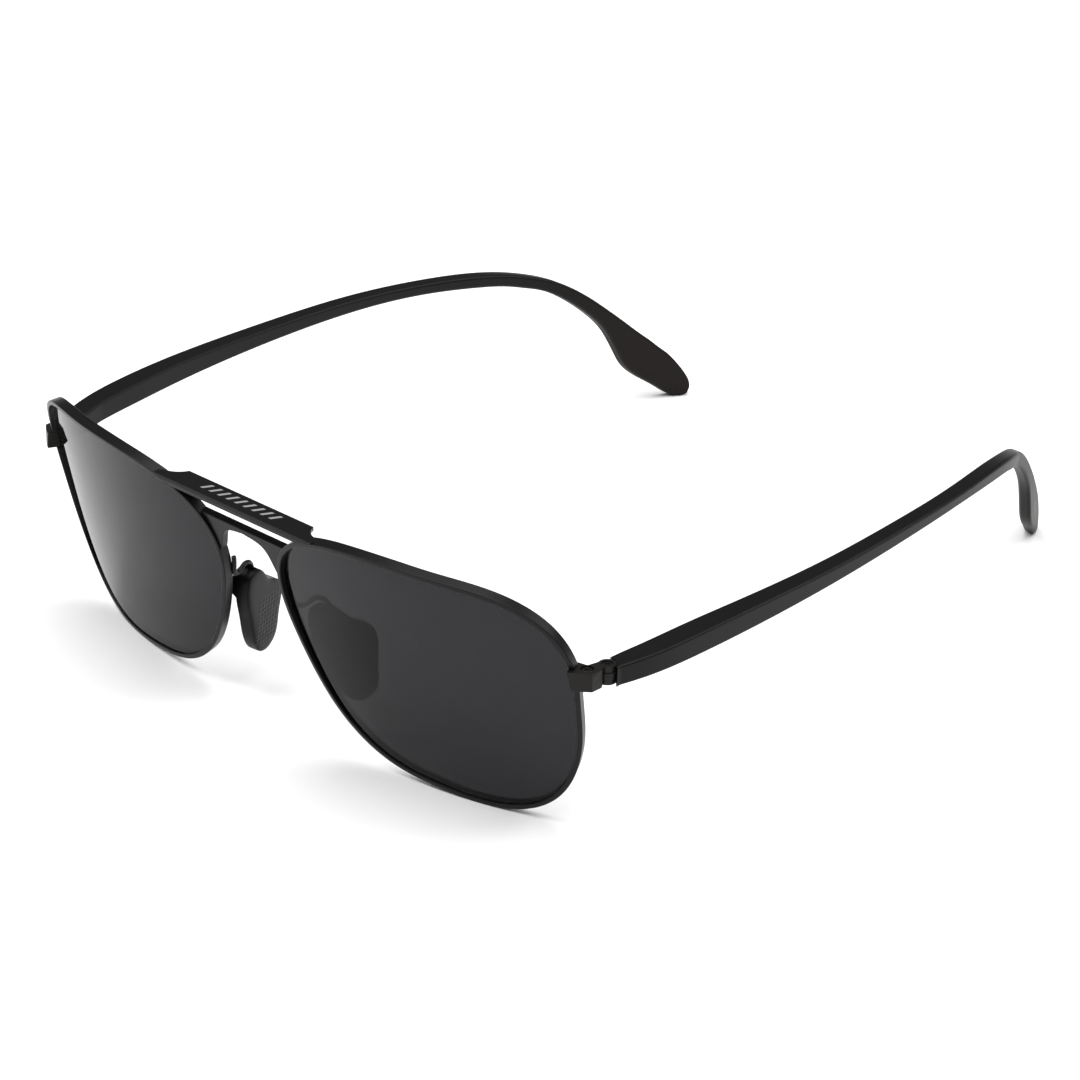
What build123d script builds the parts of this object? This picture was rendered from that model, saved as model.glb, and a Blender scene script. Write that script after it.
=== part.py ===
"""Metal-front aviator sunglasses with folding temples and rocking nose pads.

Frame: millimetres, +Z up, the wearer looks along -Y, the wearer's left is +X.
The glasses stand open on a table: the rims' lowest points and both temple tips
touch Z = 0. Every paired piece is drawn for the wearer's left and mirrored.
"""

import math
import os

from build123d import *

# ---------------------------------------------------------------- driving sizes
EYE_SPACING = 65.7      # between the two lens centres
FRONT_Y = -77.2         # lens centres, along the depth of the glasses
FRONT_Z = 23.5          # lens centres, above the table
TILT = 14.4             # the front leans back by this much, degrees
WRAP = 8.1              # each eye turns outward by this much, degrees
FRONT_CURVE = 98.0      # radius of the front around its upright axis
FRONT_BULGE = 940.0     # radius of the rims up and down
LENS_BULGE = 260.0      # radius of the lenses up and down

RIM_WIDTH = 0.9         # seen from the front
RIM_DEPTH = 2.1         # front to rear
GROOVE_DEPTH = 0.4      # how far the lens edge sits in the rim
LENS_THICKNESS = 0.8
LENS_RECESS = 0.75      # lens face behind the rim face, at the lens centre

HINGE_X = 66.6          # hinge axis, from the middle
HINGE_Y = FRONT_Y + 13.7
BLOCK_TOP = 33.1        # top face of the endpiece
BLOCK_HEIGHT = 3.2
BARREL_RADIUS = 1.5     # outer knuckles
MIDDLE_RADIUS = 1.7     # knuckle on the temple
KNUCKLE_GAP = 0.06      # between knuckles, each side
RUNNING_GAP = 0.12      # around the turning knuckle
PIN_RADIUS = 0.5
PIN_CLEARANCE = 0.05
SCREW_HEAD_RADIUS = 0.9
SCREW_HEAD_HEIGHT = 0.45
SCREW_RECESS = 0.15     # screw heads below their faces
DRIVE_SLOT = 0.24       # width of the cross slot
FRONT_RECESS = 1.66     # hollow in the temple's front end, about the hinge axis
LOCK_END = 2.65         # the rim lock stops this far before the hinge axis

TANG_LENGTH = 13.0
TANG_WIDTH = 1.7
TEMPLE_SEAM = 117.0     # sleeve starts here, behind the hinge axis
CORE_RADIUS = 0.6

WIRE_RADIUS = 0.43
PAD_THICKNESS = 3.0
HOOD_FOOT = 5.2         # up the pad
HOOD_DEPTH = 1.1
PAD_SPLAY = 15.0        # the pads open toward the face, degrees
PAD_FLARE = 7.0         # and toward the nostrils, degrees
PAD_PIN_RADIUS = 0.35

WALL_SAMPLES = 44
FAR = 200.0             # longer than anything here

# ------------------------------------------------------------------- the planes
FRONT = Plane(
    origin=(0, FRONT_Y, FRONT_Z),
    x_dir=(1, 0, 0),
    z_dir=(0, -math.cos(math.radians(TILT)), -math.sin(math.radians(TILT))),
)
EYE = Plane(FRONT.location * Location((EYE_SPACING / 2, 0, 0), (0, WRAP, 0)))
BEND_AXIS = EYE.offset(-FRONT_CURVE)
BEND_PROFILE = Plane(origin=BEND_AXIS.origin, x_dir=EYE.z_dir, z_dir=-EYE.x_dir)
HINGE = Plane(origin=(HINGE_X, HINGE_Y, 0))
SIDE = Plane(origin=(HINGE_X, HINGE_Y, 0), x_dir=(0, 1, 0), z_dir=(1, 0, 0))
splay, flare = math.radians(PAD_SPLAY), math.radians(PAD_FLARE)
PAD = Plane(
    origin=(11.4, FRONT_Y + 9.7, 15.5),
    x_dir=(-math.sin(splay), -math.cos(splay), 0),
    z_dir=(-math.cos(splay) * math.cos(flare), math.sin(splay) * math.cos(flare), -math.sin(flare)),
)

# the rim's outer edge, in the eye plane
RIM_OUTLINE = [
    (32.8, 0), (33.1, 5.2), (32.1, 10.4), (29.5, 15.0), (25.3, 18.5), (20.2, 20.6),
    (10.6, 22.1), (2.8, 22.8), (-4.7, 22.9), (-12.7, 22.0), (-16.9, 20.7), (-20.7, 18.5),
    (-23.7, 15.1), (-25.3, 10.8), (-25.5, 6.4), (-23.5, -1.9), (-20.6, -8.8), (-16.7, -14.9),
    (-11.3, -19.6), (-4.6, -22.5), (2.9, -23.9), (12.1, -25.0), (17.4, -24.7), (22.6, -23.0),
    (26.8, -19.6), (29.7, -15.0), (31.9, -8.0),
]

# temple seen from the side: distance behind the hinge axis, height above the table
TEMPLE_TOP = [
    (-2, 33.0), (8.3, 33.9), (26.3, 34.8), (51.3, 34.95), (73.3, 35.0), (92.3, 34.25),
    (104.3, 33.2), (112.3, 31.7), (118.3, 29.8), (124.3, 26.4), (130.3, 21.5), (136.3, 15.9),
    (142.3, 10.2), (145.6, 5.8), (147.0, 2.5), (146.2, 0.5), (144.2, 0),
]
TEMPLE_UNDERSIDE = [
    (144.2, 0), (141.0, 2.2), (136.2, 5.9), (134.5, 7.8), (133.3, 10.1), (131.8, 13.6),
    (129.5, 17.5), (125.7, 21.5), (121.4, 25.0), (116.7, 27.6), (110.2, 29.5), (101.2, 30.9),
    (92.2, 31.8), (76.2, 32.3), (61.2, 32.0), (46.2, 31.6), (31.2, 31.0), (8.2, 30.1), (-2, 29.55),
]
# temple seen from above: sideways from the hinge axis, distance behind it
TEMPLE_OUTER = [
    (2.3, -0.1), (4.4, 8.0), (5.5, 17.2), (6.3, 36.0), (6.25, 50.0), (5.6, 64.0), (3.6, 83.0),
    (-0.3, 102.0), (-3.4, 112.0), (-8.0, 122.4), (-13.5, 134.3), (-20.1, 146.7), (-21.3, 149.0),
]
TEMPLE_INNER = [
    (-24.4, 149.0), (-23.1, 146.7), (-16.5, 134.5), (-11.0, 122.4), (-6.7, 112.0),
    (-3.7, 102.0), (0.3, 83.0), (2.2, 64.0), (2.7, 45.0), (1.85, 26.3), (0.95, 17.2),
    (-0.05, 8.0), (-0.95, 1.8),
]
CORE_ROUTE = [(-1.5, 99.0, 32.5), (-4.6, 111.0, 30.7), (-9.3, 122.0, 25.6), (-15.0, 134.3, 14.2)]

# nose pad outline in the pad plane: forward, up
PAD_OUTLINE = [
    (6.6, 7.6), (6.2, 9.4), (4.4, 10.2), (2.4, 9.7), (1.1, 8.5), (-0.4, 6.9), (-2.0, 6.0),
    (-4.2, 4.7), (-5.2, 2.6), (-5.0, -2.0), (-4.3, -7.0), (-2.6, -8.3), (0.2, -7.9),
    (1.7, -6.3), (4.5, 0.3),
]
CARRIER_OUTLINE = [
    (3.9, 2.6), (3.5, 3.7), (2.1, 4.1), (0, 3.2), (-2.4, 2.0), (-3.2, 0.7), (-3.1, -2.1),
    (-2.6, -5.2), (-1.6, -6.0), (0.1, -5.7), (0.9, -4.7), (2.6, -0.9),
]
PAD_AXIS = (3.2, 7.8, -0.7)       # rocking screw: forward, up, toward the nose
PAD_WIRE = [
    (7.05, 0.4, 30.6), (7.45, 0.8, 28.4), (8.0, 1.5, 26.8), (8.45, 2.8, 26.5),
    (8.8, 4.2, 27.2), (9.15, 5.5, 27.1), (9.6, 6.5, 26.2), (9.9, 7.0, 24.4),
]

# brow bar seen from above: sideways, behind the front's plane
BAR_TOP = 44.7
BAR_PLATE = 0.7
BAR_FRONT = -6.35
BAR_REAR = -1.75
BAR_REACH = 19.4
BRIDGE_TOP = 16.7       # up the front's plane
BRIDGE_REACH = 11.5
BRIDGE_ARCH = [
    (7.9, 8.6), (6.5, 11.0), (5.75, 13.0), (4.7, 14.5), (3.0, 15.25), (0, 15.7),
]


# -------------------------------------------------------------- shared geometry
def rim_edge(inset):
    """Return the rim's outline, moved inward, as points in the eye plane."""
    edge = Edge.make_spline([Vector(x, y) for x, y in RIM_OUTLINE], periodic=True)
    points = []
    for step in range(WALL_SAMPLES):
        where = step / WALL_SAMPLES
        outline, along = edge.position_at(where), edge.tangent_at(where)
        points.append((outline.X - along.Y * inset, outline.Y + along.X * inset))
    return points


def eye_prism(inset, ahead=2.0, behind=10.0):
    """Return a block whose walls follow the rim, square to the curved front."""
    with BuildPart() as prism:
        for depth in (-ahead, behind):
            with BuildSketch(EYE.offset(-depth)):
                with BuildLine():
                    wall = []
                    for x, y in rim_edge(inset):
                        spread = (FRONT_CURVE - depth) / math.sqrt(FRONT_CURVE**2 - x**2)
                        wall.append((x * spread, y))
                    Spline(*wall, periodic=True)
                make_face()
        loft(ruled=True)
    return prism.part


def bent_sheet(face, thickness, bulge):
    """Return a sheet bent about the eye's upright axis and bulged up and down."""
    half = 32.0
    drop = bulge - math.sqrt(bulge**2 - half**2)
    outer = FRONT_CURVE - face
    inner = outer - thickness
    with BuildPart() as sheet:
        with BuildSketch(BEND_PROFILE):
            with BuildLine():
                ThreePointArc((outer - drop, -half), (outer, 0), (outer - drop, half))
                Line((outer - drop, half), (inner - drop, half))
                ThreePointArc((inner - drop, half), (inner, 0), (inner - drop, -half))
                Line((inner - drop, -half), (outer - drop, -half))
            make_face()
        revolve(axis=Axis(BEND_AXIS.origin, EYE.y_dir))
    return sheet.part


def keep(piece, name):
    """Label a finished piece and write its STEP file."""
    piece.label = name
    export_step(piece, f"parts/{name}.step")


def keep_pair(piece, name):
    """Write a left-hand piece and its mirror image for the right."""
    keep(piece, name.replace("SIDE", "left"))
    with BuildPart() as other:
        add(piece)
        mirror(about=Plane.YZ, mode=Mode.REPLACE)
    keep(other.part, name.replace("SIDE", "right"))


def screw(head_plane, head_radius, shank_radius, length):
    """Return a domed screw with a cross slot, its head's top on the plane."""
    with BuildPart() as body:
        with BuildSketch(head_plane):
            Circle(head_radius)
        extrude(amount=-SCREW_HEAD_HEIGHT)
        fillet(body.edges().group_by(Axis(head_plane.origin, head_plane.z_dir))[-1], 0.15)
        with BuildSketch(head_plane.offset(-SCREW_HEAD_HEIGHT)):
            Circle(shank_radius)
        extrude(amount=SCREW_HEAD_HEIGHT - length)
        with BuildSketch(head_plane):
            Rectangle(1.4 * head_radius, DRIVE_SLOT)
            Rectangle(DRIVE_SLOT, 1.4 * head_radius)
        extrude(amount=-0.22, mode=Mode.SUBTRACT)
    return body.part


os.makedirs("parts", exist_ok=True)

outer_prism = eye_prism(0)
inner_prism = eye_prism(RIM_WIDTH)
seat_prism = eye_prism(RIM_WIDTH - GROOVE_DEPTH)

# ------------------------------------------------------------------- lens, left
with BuildPart() as lens:
    add(seat_prism)
    add(bent_sheet(LENS_RECESS, LENS_THICKNESS, LENS_BULGE), mode=Mode.INTERSECT)

# --------------------------------------------- endpiece, rim lock and the screws
BLOCK_BOTTOM = BLOCK_TOP - BLOCK_HEIGHT
BLOCK_SPLIT = BLOCK_TOP - BLOCK_HEIGHT / 2
MIDDLE_HALF = BLOCK_HEIGHT / 6
LOCK_SCREW = (-1.05, -3.6)


def block(bottom, top):
    """Return the endpiece's outline as a slab, with its barrel round the hinge axis."""
    with BuildPart() as slab:
        with BuildSketch(HINGE.offset(bottom)):
            with BuildLine():
                Polyline((-1.3, -0.4), (-1.8, -2.7), (-4.4, -3.2), (-5.4, -5.5), (-3.9, -7.4))
                ThreePointArc((-3.9, -7.4), (-1.3, -6.2), (0.95, -4.5))
                Polyline((0.95, -4.5), (1.0, -2.3), (0.3, -1.3), (0, 0.2), (-1.3, -0.4))
            make_face()
            Circle(BARREL_RADIUS)
        extrude(amount=top - bottom)
        add(inner_prism, mode=Mode.SUBTRACT)
        add(lens.part, mode=Mode.SUBTRACT)
    return slab.part


with BuildPart() as hinge_screw:
    add(screw(HINGE.offset(BLOCK_TOP - SCREW_RECESS), SCREW_HEAD_RADIUS, PIN_RADIUS,
              BLOCK_HEIGHT - SCREW_RECESS))

LOCK_PLANE = HINGE.offset(BLOCK_TOP - SCREW_RECESS).shift_origin(
    (HINGE_X + LOCK_SCREW[0], HINGE_Y + LOCK_SCREW[1], BLOCK_TOP - SCREW_RECESS)
)
with BuildPart() as lock_screw:
    add(screw(LOCK_PLANE, SCREW_HEAD_RADIUS, PIN_RADIUS, BLOCK_HEIGHT - SCREW_RECESS - 0.3))

with BuildPart() as rim_lock:
    add(block(BLOCK_BOTTOM, BLOCK_SPLIT))
    with BuildSketch(HINGE.offset(BLOCK_BOTTOM)):
        with Locations((0, FAR / 2 - LOCK_END)):
            Rectangle(FAR, FAR)
    extrude(amount=BLOCK_HEIGHT, mode=Mode.SUBTRACT)
    add(lock_screw.part, mode=Mode.SUBTRACT)

with BuildPart() as endpiece:
    add(block(BLOCK_BOTTOM, BLOCK_TOP))
    add(rim_lock.part, mode=Mode.SUBTRACT)
    with BuildSketch(HINGE.offset(BLOCK_SPLIT - MIDDLE_HALF - KNUCKLE_GAP)):
        Circle(MIDDLE_RADIUS + RUNNING_GAP)
    extrude(amount=2 * (MIDDLE_HALF + KNUCKLE_GAP), mode=Mode.SUBTRACT)
    with BuildSketch(HINGE.offset(BLOCK_TOP)):
        Circle(SCREW_HEAD_RADIUS + 0.06)
        with Locations(LOCK_SCREW):
            Circle(SCREW_HEAD_RADIUS + 0.2)
    extrude(amount=-SCREW_RECESS - SCREW_HEAD_HEIGHT, mode=Mode.SUBTRACT)
    add(hinge_screw.part, mode=Mode.SUBTRACT)
    add(lock_screw.part, mode=Mode.SUBTRACT)

# -------------------------------------------------------------------- rim, left
with BuildPart() as rim:
    add(outer_prism)
    add(inner_prism, mode=Mode.SUBTRACT)
    add(bent_sheet(0, RIM_DEPTH, FRONT_BULGE), mode=Mode.INTERSECT)
    add(lens.part, mode=Mode.SUBTRACT)
    with BuildSketch(HINGE.offset(BLOCK_BOTTOM)):
        with Locations((-3, -4)):
            Rectangle(8, 8)
    extrude(amount=BLOCK_HEIGHT, mode=Mode.SUBTRACT)

# --------------------------------------------------- bridge and bar, both eyes
with BuildPart() as eyes:
    add(outer_prism)
    mirror(about=Plane.YZ)

with BuildPart() as lower_bridge:
    with BuildSketch(FRONT.offset(-0.15)):
        with BuildLine():
            left = Spline(*[(x, y) for x, y in BRIDGE_ARCH])
            right = Spline(*[(-x, y) for x, y in BRIDGE_ARCH])
            Polyline(left @ 0, (BRIDGE_REACH, 8.6), (BRIDGE_REACH, BRIDGE_TOP),
                     (-BRIDGE_REACH, BRIDGE_TOP), (-BRIDGE_REACH, 8.6), right @ 0)
        make_face()
    extrude(amount=-1.45)
    add(eyes.part, mode=Mode.SUBTRACT)

with BuildPart() as brow_bar:
    with BuildSketch(Plane.XY.offset(BAR_TOP)):
        with BuildLine():
            for side in (-1, 1):
                Polyline((0, FRONT_Y + BAR_FRONT), (side * BAR_REACH, FRONT_Y + BAR_FRONT),
                         (side * (BAR_REACH + 0.1), FRONT_Y + BAR_FRONT + 1.9))
                ThreePointArc((side * (BAR_REACH + 0.1), FRONT_Y + BAR_FRONT + 1.9),
                              (side * 17.0, FRONT_Y + BAR_REAR - 2.1),
                              (side * 15.3, FRONT_Y + BAR_REAR))
                Line((side * 15.3, FRONT_Y + BAR_REAR), (0, FRONT_Y + BAR_REAR))
        make_face()
    extrude(amount=-BAR_PLATE)
    with BuildSketch(Plane.YZ):
        with BuildLine():
            Polyline((FRONT_Y + BAR_FRONT, BAR_TOP), (FRONT_Y + BAR_FRONT + 0.38, BAR_TOP - 1.5),
                     (FRONT_Y + BAR_FRONT + 1.15, BAR_TOP - 1.5),
                     (FRONT_Y + BAR_FRONT + 0.8, BAR_TOP), close=True)
        make_face()
    extrude(amount=BAR_REACH, both=True)
    add(eyes.part, mode=Mode.SUBTRACT)

# ------------------------------------------------- temple: hinge, arm and sleeve
with BuildPart() as temple_hinge:
    with BuildSketch(HINGE.offset(BLOCK_SPLIT - MIDDLE_HALF)):
        Circle(MIDDLE_RADIUS)
        with BuildLine():
            Polyline((-TANG_WIDTH / 2, 0), (TANG_WIDTH / 2, 0), (3.2 + TANG_WIDTH / 2, TANG_LENGTH),
                     (3.2 - TANG_WIDTH / 2, TANG_LENGTH), close=True)
        make_face()
        Circle(PIN_RADIUS + PIN_CLEARANCE, mode=Mode.SUBTRACT)
    extrude(amount=2 * MIDDLE_HALF)

with BuildPart() as temple_core:
    with BuildLine() as route:
        Spline(*[(HINGE_X + x, HINGE_Y + y, z) for x, y, z in CORE_ROUTE])
    with BuildSketch(Plane(origin=route.line @ 0, z_dir=route.line % 0)):
        Circle(CORE_RADIUS)
    sweep()

with BuildPart() as temple_whole:
    with BuildSketch(SIDE):
        with BuildLine():
            top = Spline(*TEMPLE_TOP)
            underside = Spline(*TEMPLE_UNDERSIDE)
            Line(underside @ 1, top @ 0)
        make_face()
    extrude(amount=40, both=True)
    with BuildSketch(HINGE):
        with BuildLine():
            outer = Spline(*TEMPLE_OUTER)
            inner = Spline(*TEMPLE_INNER)
            Line(outer @ 1, inner @ 0)
            Line(inner @ 1, outer @ 0)
        make_face()
    extrude(amount=50, mode=Mode.INTERSECT)

BADGE = Plane(
    origin=(HINGE_X - 15.7, HINGE_Y + 138.5, 8.6),
    x_dir=(-0.36, 0.64, -0.68),
    z_dir=(0.883, 0.47, 0),
)
with BuildPart() as badge_prism:
    with BuildSketch(BADGE.offset(-0.5)):
        Polygon((-3.6, 0), (-1.2, 1.5), (3.6, 0.4), (1.2, -1.5), align=None)
    extrude(amount=6)

with BuildPart() as temple_arm:
    add(temple_whole.part)
    split(bisect_by=Plane.XZ.offset(-HINGE_Y - TEMPLE_SEAM), keep=Keep.TOP)
    with BuildSketch(HINGE):
        Circle(FRONT_RECESS)
    extrude(amount=50, mode=Mode.SUBTRACT)
    add(temple_hinge.part, mode=Mode.SUBTRACT)
    add(temple_core.part, mode=Mode.SUBTRACT)

with BuildPart() as temple_sleeve:
    add(temple_whole.part)
    split(bisect_by=Plane.XZ.offset(-HINGE_Y - TEMPLE_SEAM), keep=Keep.BOTTOM)
    add(temple_core.part, mode=Mode.SUBTRACT)

with BuildPart() as tip_badge:
    add(temple_sleeve.part)
    add(badge_prism.part, mode=Mode.INTERSECT)

with BuildPart() as temple_tip:
    add(temple_sleeve.part)
    add(badge_prism.part, mode=Mode.SUBTRACT)

# ---------------------------------------------------------------- nose pad, left
AXIS_F, AXIS_UP, AXIS_N = PAD_AXIS
PAD_SCREW_PLANE = Plane(
    origin=(PAD.location * Location((AXIS_F + 2.1, AXIS_UP, AXIS_N))).position,
    x_dir=PAD.y_dir,
    z_dir=PAD.x_dir,
)
AXIS_SECTION = PAD_SCREW_PLANE.offset(-2.1)

with BuildPart() as pad_screw:
    with BuildSketch(PAD_SCREW_PLANE):
        Circle(0.6)
    extrude(amount=-0.4)
    with BuildSketch(PAD_SCREW_PLANE.offset(-0.4)):
        Circle(PAD_PIN_RADIUS)
    extrude(amount=-3.3)
    with BuildSketch(PAD_SCREW_PLANE):
        Rectangle(1.0, 0.2)
    extrude(amount=-0.15, mode=Mode.SUBTRACT)

with BuildPart() as pad_arm:
    with BuildSketch(PAD.offset(AXIS_N - 1.3)):
        with Locations((AXIS_F, AXIS_UP - 0.1)):
            Rectangle(3.2, 2.4)
    extrude(amount=2.2)
    with BuildSketch(PAD.offset(AXIS_N - 0.9)):
        with Locations((AXIS_F, AXIS_UP - 1.0)):
            Rectangle(2.2, 4.0)
    extrude(amount=3, mode=Mode.SUBTRACT)
    with BuildLine() as wire:
        Spline(*[(x, FRONT_Y + y, z) for x, y, z in PAD_WIRE])
    with BuildSketch(Plane(origin=wire.line @ 0, z_dir=wire.line % 0)):
        Circle(WIRE_RADIUS)
    sweep(path=wire.line)
    with BuildSketch(PAD.offset(AXIS_N - 0.9)):
        with Locations((AXIS_F, AXIS_UP - 1.0)):
            Rectangle(2.2, 4.0)
    extrude(amount=1.9, mode=Mode.SUBTRACT)
    add(rim.part, mode=Mode.SUBTRACT)
    add(pad_screw.part, mode=Mode.SUBTRACT)

with BuildPart() as pad_carrier:
    with BuildSketch(PAD.offset(AXIS_N - 0.5)):
        with BuildLine():
            Spline(*CARRIER_OUTLINE, periodic=True)
        make_face()
        with Locations((AXIS_F, AXIS_UP - 3)):
            Rectangle(2.0, 6)
    extrude(amount=1.0)
    with BuildSketch(AXIS_SECTION.offset(-1.0)):
        Circle(0.8)
    extrude(amount=2.0)
    with BuildSketch(AXIS_SECTION.offset(-3)):
        Circle(PAD_PIN_RADIUS + PIN_CLEARANCE)
    extrude(amount=6, mode=Mode.SUBTRACT)

with BuildPart() as nose_pad:
    with BuildSketch(PAD.offset(-PAD_THICKNESS / 2)):
        with BuildLine():
            Spline(*PAD_OUTLINE, periodic=True)
        make_face()
    extrude(amount=PAD_THICKNESS)
    # the hood that wraps the arm's box, on the side away from the nose
    with BuildSketch(PAD.offset(-PAD_THICKNESS / 2)):
        with BuildLine():
            Spline(*PAD_OUTLINE, periodic=True)
        make_face()
        with Locations((0, HOOD_FOOT - FAR / 2)):
            Rectangle(FAR, FAR, mode=Mode.SUBTRACT)
    extrude(amount=-HOOD_DEPTH)
    with BuildSketch(PAD.offset(AXIS_N - 1.3 - 0.25)):
        with Locations((AXIS_F, AXIS_UP - 0.1)):
            Rectangle(3.6, 2.8)
    extrude(amount=2.2 + 0.5, mode=Mode.SUBTRACT)
    with BuildSketch(PAD.offset(AXIS_N)):
        with Locations((AXIS_F, AXIS_UP + 1.2)):
            Rectangle(1.9, 4.0)
    extrude(amount=0.95, both=True, mode=Mode.SUBTRACT)
    with BuildSketch(PAD_SCREW_PLANE.offset(0.3)):
        Circle(0.8)
    extrude(amount=-FAR / 20, mode=Mode.SUBTRACT)
    add(pad_carrier.part, mode=Mode.SUBTRACT)

# ------------------------------------------------------------------------- write
keep_pair(rim.part, "rim_SIDE")
keep_pair(lens.part, "lens_SIDE")
keep_pair(endpiece.part, "endpiece_SIDE")
keep_pair(rim_lock.part, "rim_lock_SIDE")
keep_pair(lock_screw.part, "rim_lock_screw_SIDE")
keep_pair(hinge_screw.part, "hinge_screw_SIDE")
keep(lower_bridge.part, "lower_bridge")
keep(brow_bar.part, "brow_bar")
keep_pair(temple_hinge.part, "temple_hinge_SIDE")
keep_pair(temple_arm.part, "temple_arm_SIDE")
keep_pair(temple_core.part, "temple_core_SIDE")
keep_pair(temple_tip.part, "temple_tip_SIDE")
keep_pair(tip_badge.part, "tip_badge_SIDE")
keep_pair(pad_arm.part, "pad_arm_SIDE")
keep_pair(pad_screw.part, "pad_screw_SIDE")
keep_pair(pad_carrier.part, "pad_carrier_SIDE")
keep_pair(nose_pad.part, "nose_pad_SIDE")
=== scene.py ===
"""Looks of the metal-front aviator sunglasses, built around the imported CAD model.

Lengths in the classes are millimetres in the model's own frame: +X to the wearer's
left, +Y back along the temples, +Z up. Meshes are turned to metres as they are made.
"""

import logging
import math
from dataclasses import dataclass
from enum import Enum

import bmesh
import bpy
import numpy as np
from mathutils import Matrix, Vector

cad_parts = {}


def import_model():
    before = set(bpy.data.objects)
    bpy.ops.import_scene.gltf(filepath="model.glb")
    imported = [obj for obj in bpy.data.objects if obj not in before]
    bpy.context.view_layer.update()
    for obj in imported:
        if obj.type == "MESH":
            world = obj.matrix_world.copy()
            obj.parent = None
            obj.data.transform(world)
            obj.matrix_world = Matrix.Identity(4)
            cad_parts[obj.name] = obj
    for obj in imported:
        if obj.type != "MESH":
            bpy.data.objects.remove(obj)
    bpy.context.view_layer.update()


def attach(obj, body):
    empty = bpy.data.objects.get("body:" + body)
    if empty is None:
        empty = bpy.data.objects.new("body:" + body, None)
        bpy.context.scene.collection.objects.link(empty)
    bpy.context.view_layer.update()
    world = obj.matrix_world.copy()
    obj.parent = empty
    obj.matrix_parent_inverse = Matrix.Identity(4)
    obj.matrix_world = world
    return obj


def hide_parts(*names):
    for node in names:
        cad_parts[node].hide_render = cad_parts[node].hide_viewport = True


log = logging.getLogger("aviators")
MM = 0.001
# faces that meet at more than this stay apart in the shading
SHARP_ANGLE = math.radians(34)


class Side(Enum):
    """The wearer's left and right; the value is the sign of X."""

    LEFT = 1
    RIGHT = -1

    @property
    def word(self) -> str:
        """Return the word that ends this side's node names."""
        return self.name.lower()


# ------------------------------------------------------------------ colour and nodes
def srgb(code: str, alpha: float = 1.0) -> tuple[float, float, float, float]:
    """Turn an sRGB hex colour into linear values.

    Args:
        code: six hex digits after a hash.
        alpha: opacity, passed on unchanged.

    Returns:
        Linear red, green, blue and the alpha.
    """
    parts = np.array([int(code[i:i + 2], 16) for i in (1, 3, 5)]) / 255.0
    linear = np.where(parts <= 0.04045, parts / 12.92, ((parts + 0.055) / 1.055) ** 2.4)
    return (*(float(v) for v in linear), alpha)


def add_node(tree: bpy.types.NodeTree, kind: str, settings: dict, links: dict) -> bpy.types.Node:
    """Add a node with its settings and incoming links.

    Args:
        tree: the node tree to add to.
        kind: the node's type name.
        settings: property names, or input names or numbers, and their values.
        links: input names or numbers and the output sockets that feed them.

    Returns:
        The new node.
    """
    node = tree.nodes.new(kind)
    for name, value in settings.items():
        if isinstance(name, str) and hasattr(node, name):
            setattr(node, name, value)
        else:
            node.inputs[name].default_value = value
    for name, socket in links.items():
        tree.links.new(socket, node.inputs[name])
    return node


@dataclass(frozen=True)
class Finish:
    """A surface with a fine grain in its gloss and relief, in object coordinates."""

    name: str
    colour: str
    roughness: float
    grain_mm: float
    relief_mm: float
    ior: float = 1.5
    metallic: float = 0.0
    specular: float = 0.5
    coat: float = 0.0
    mottle: float = 0.15
    patch_mm: float = 9.0
    darkest: float = 0.8
    gloss_spread: tuple[float, float] = (-0.05, 0.06)

    def surface(self, tree: bpy.types.NodeTree) -> dict:
        """Return the links of colour, roughness and normal for the shader.

        Args:
            tree: the material's node tree.

        Returns:
            Input names of the shader and the sockets that feed them.
        """
        place = add_node(tree, "ShaderNodeTexCoord", {}, {})
        grain = add_node(tree, "ShaderNodeTexNoise",
                         {"Scale": 1.0 / (self.grain_mm * MM), "Detail": 3.0, "Roughness": 0.6},
                         {"Vector": place.outputs["Object"]})
        patches = add_node(tree, "ShaderNodeTexNoise",
                           {"Scale": 1.0 / (self.patch_mm * MM), "Detail": 2.0},
                           {"Vector": place.outputs["Object"]})
        dark = tuple(self.darkest * v for v in srgb(self.colour)[:3]) + (1.0,)
        blend = add_node(tree, "ShaderNodeMapRange",
                         {"From Min": 0.3, "From Max": 0.7, "To Min": 1.0 - self.mottle,
                          "To Max": 1.0}, {"Value": patches.outputs["Fac"]})
        colour = add_node(tree, "ShaderNodeMix",
                          {"data_type": "RGBA", "A": dark, "B": srgb(self.colour)},
                          {"Factor": blend.outputs["Result"]})
        smoothest, roughest = (self.roughness + change for change in self.gloss_spread)
        gloss = add_node(tree, "ShaderNodeMapRange",
                         {"From Min": 0.3, "From Max": 0.7, "To Min": smoothest,
                          "To Max": roughest}, {"Value": grain.outputs["Fac"]})
        relief = add_node(tree, "ShaderNodeBump",
                          {"Strength": 0.5, "Distance": self.relief_mm * MM},
                          {"Height": grain.outputs["Fac"]})
        return {"Base Color": colour.outputs[2], "Roughness": gloss.outputs["Result"],
                "Normal": relief.outputs["Normal"]}

    def material(self) -> bpy.types.Material:
        """Build the material, or return it if it is there already."""
        if self.name in bpy.data.materials:
            return bpy.data.materials[self.name]
        made = bpy.data.materials.new(self.name)
        made.use_nodes = True
        tree = made.node_tree
        tree.nodes.clear()
        shader = add_node(tree, "ShaderNodeBsdfPrincipled",
                          {"Metallic": self.metallic, "IOR": self.ior,
                           "Specular IOR Level": self.specular, "Coat Weight": self.coat},
                          self.surface(tree))
        add_node(tree, "ShaderNodeOutputMaterial", {}, {"Surface": shader.outputs["BSDF"]})
        return made


# black PVD on stainless steel: a blasted satin that turns grey where it grazes the light
FRAME_COAT = Finish("black_pvd_steel", "#101011", 0.32, 0.09, 0.004, specular=0.16)
# the same coat on the turned and milled hinge, a little browner and coarser
HINGE_COAT = Finish("black_pvd_hinge", "#161412", 0.4, 0.12, 0.006, specular=0.2)
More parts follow.
